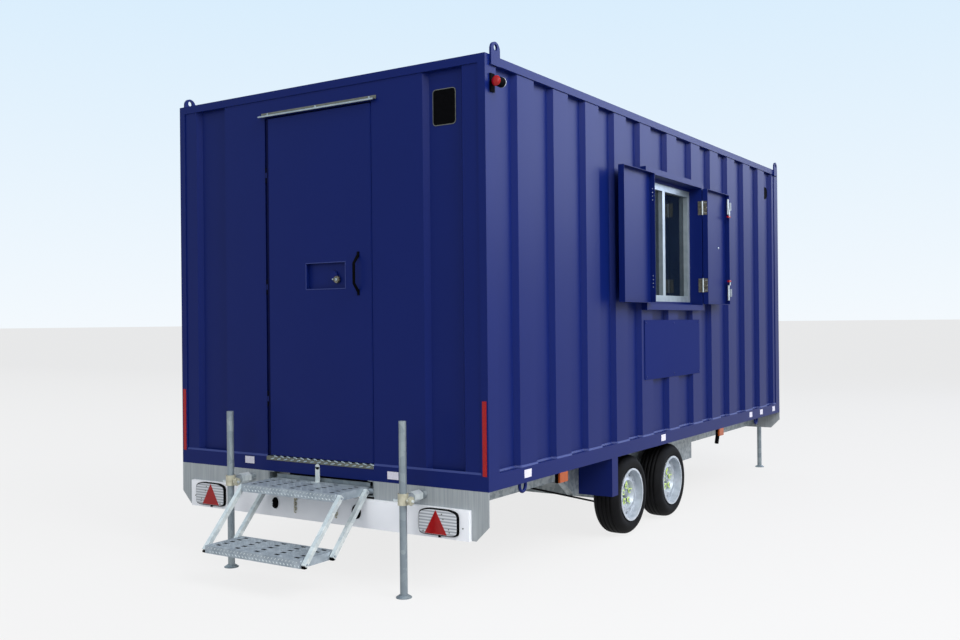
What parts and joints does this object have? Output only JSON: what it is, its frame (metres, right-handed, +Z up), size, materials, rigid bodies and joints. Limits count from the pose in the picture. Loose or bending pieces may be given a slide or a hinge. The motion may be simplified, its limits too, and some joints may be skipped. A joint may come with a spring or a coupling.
{
  "type": "towable site cabin",
  "caption": "Towable ribbed-steel site cabin on a galvanised axled chassis, with an end door, shuttered side window, prop legs and folding step.",
  "frame": {"origin": "middle of the outline's footprint, at ground level", "axes": "+X to the right side with the window, +Y from the door end to the drawbar, +Z up"},
  "size_m": [2.4094, 6.8029, 2.8649],
  "materials": {
    "blue_paint": "satin",
    "floor_board": "matte",
    "black_plastic": "satin",
    "aluminium_trim": "satin",
    "window_pane": "gloss",
    "zinc_plate": "satin",
    "amber_lens": "gloss",
    "galvanised_steel": "satin",
    "white_paint": "gloss",
    "lamp_lens": "gloss",
    "tyre_rubber": "matte"
  },
  "bodies": {
    "cabin": {"bottom_rails": "blue_paint", "corner_posts": "blue_paint", "top_rails": "blue_paint", "roof_panel": "blue_paint", "left_wall": "blue_paint", "front_wall": "blue_paint", "right_wall_rear": "blue_paint", "right_wall_front": "blue_paint", "right_wall_over_window": "blue_paint", "right_wall_under_window": "blue_paint", "rear_wall_left": "blue_paint", "rear_wall_right": "blue_paint", "rear_wall_over_door": "blue_paint", "door_hinges": "blue_paint", "window_surround": "blue_paint", "access_panel": "blue_paint", "lifting_eyes": "blue_paint", "lashing_rings": "blue_paint", "splash_plates": "blue_paint", "floor_deck": "floor_board", "outline_lamp": "black_plastic", "door_trim": "aluminium_trim", "window_frame": "aluminium_trim", "window_glass": "window_pane", "shutter_hinges": "zinc_plate", "side_markers": "amber_lens", "end_aprons": "galvanised_steel", "drawbar": "galvanised_steel", "chassis_rails": "galvanised_steel", "crossmembers": "galvanised_steel", "axle_beams": "galvanised_steel", "axles": "galvanised_steel", "leg_brackets": "galvanised_steel", "step_upper": "galvanised_steel", "step_runners": "galvanised_steel", "light_board": "white_paint", "tail_lamps": "lamp_lens"},
    "door": {"door_leaf": "blue_paint", "door_handle": "black_plastic", "lock_box": "blue_paint"},
    "rear_shutter_body": {"rear_shutter": "blue_paint", "rear_shutter_fittings": "zinc_plate"},
    "front_shutter_body": {"front_shutter": "blue_paint", "front_shutter_fittings": "zinc_plate"},
    "wheel_rear_right": {"tyre_rear_right": "tyre_rubber", "rim_rear_right": "galvanised_steel"},
    "wheel_front_right": {"tyre_front_right": "tyre_rubber", "rim_front_right": "galvanised_steel"},
    "wheel_rear_left": {"tyre_rear_left": "tyre_rubber", "rim_rear_left": "galvanised_steel"},
    "wheel_front_left": {"tyre_front_left": "tyre_rubber", "rim_front_left": "galvanised_steel"},
    "prop_rear_right": {"leg_rear_right": "galvanised_steel"},
    "prop_rear_left": {"leg_rear_left": "galvanised_steel"},
    "prop_front_right": {"leg_front_right": "galvanised_steel"},
    "prop_front_left": {"leg_front_left": "galvanised_steel"},
    "step_links_front": {"step_front_links": "galvanised_steel"},
    "step_links_rear": {"step_rear_links": "galvanised_steel"},
    "step_tread": {"step_lower": "galvanised_steel"}
  },
  "joints": [
    {"name": "door_swing", "type": "hinge", "parent": "cabin", "child": "door", "pos_m": [-0.44415, -2.8575, 1.64], "axis": [0, 0, -1], "range_deg": [0, 100]},
    {"name": "rear_shutter_swing", "type": "hinge", "parent": "cabin", "child": "rear_shutter_body", "pos_m": [1.14835, -0.88435, 1.972], "axis": [0, 0, 1], "range_deg": [0, 180]},
    {"name": "front_shutter_swing", "type": "hinge", "parent": "cabin", "child": "front_shutter_body", "pos_m": [1.14835, 0.10935, 1.972], "axis": [0, 0, -1], "range_deg": [0, 180]},
    {"name": "wheel_rear_right_turn", "type": "hinge", "parent": "cabin", "child": "wheel_rear_right", "pos_m": [0.97985, -1.0295, 0.262], "axis": [1, 0, 0], "continuous": true},
    {"name": "wheel_front_right_turn", "type": "hinge", "parent": "cabin", "child": "wheel_front_right", "pos_m": [0.97985, -0.3295, 0.262], "axis": [1, 0, 0], "continuous": true},
    {"name": "wheel_rear_left_turn", "type": "hinge", "parent": "cabin", "child": "wheel_rear_left", "pos_m": [-1.06515, -1.0295, 0.262], "axis": [1, 0, 0], "continuous": true},
    {"name": "wheel_front_left_turn", "type": "hinge", "parent": "cabin", "child": "wheel_front_left", "pos_m": [-1.06515, -0.3295, 0.262], "axis": [1, 0, 0], "continuous": true},
    {"name": "prop_rear_right_slide", "type": "slide", "parent": "cabin", "child": "prop_rear_right", "axis": [0, 0, 1], "range_m": [0, 0.3]},
    {"name": "prop_rear_left_slide", "type": "slide", "parent": "cabin", "child": "prop_rear_left", "axis": [0, 0, 1], "range_m": [0, 0.3]},
    {"name": "prop_front_right_slide", "type": "slide", "parent": "cabin", "child": "prop_front_right", "axis": [0, 0, 1], "range_m": [0, 0.3]},
    {"name": "prop_front_left_slide", "type": "slide", "parent": "cabin", "child": "prop_front_left", "axis": [0, 0, 1], "range_m": [0, 0.3]},
    {"name": "step_fold", "type": "hinge", "parent": "cabin", "child": "step_links_front", "pos_m": [-0.04265, -3.1115, 0.49], "axis": [-1, 0, 0], "range_deg": [0, 38]},
    {"name": "step_rear_fold", "type": "hinge", "parent": "cabin", "child": "step_links_rear", "pos_m": [-0.04265, -2.8965, 0.49], "axis": [-1, 0, 0], "range_deg": [0, 38]},
    {"name": "step_tread_level", "type": "hinge", "parent": "step_links_front", "child": "step_tread", "pos_m": [-0.04265, -3.3815, 0.194], "axis": [-1, 0, 0], "range_deg": [-38, 0]}
  ],
  "couplings": [
    {"joint": "step_rear_fold", "follows": "step_fold", "ratio": 1},
    {"joint": "step_tread_level", "follows": "step_fold", "ratio": -1}
  ]
}
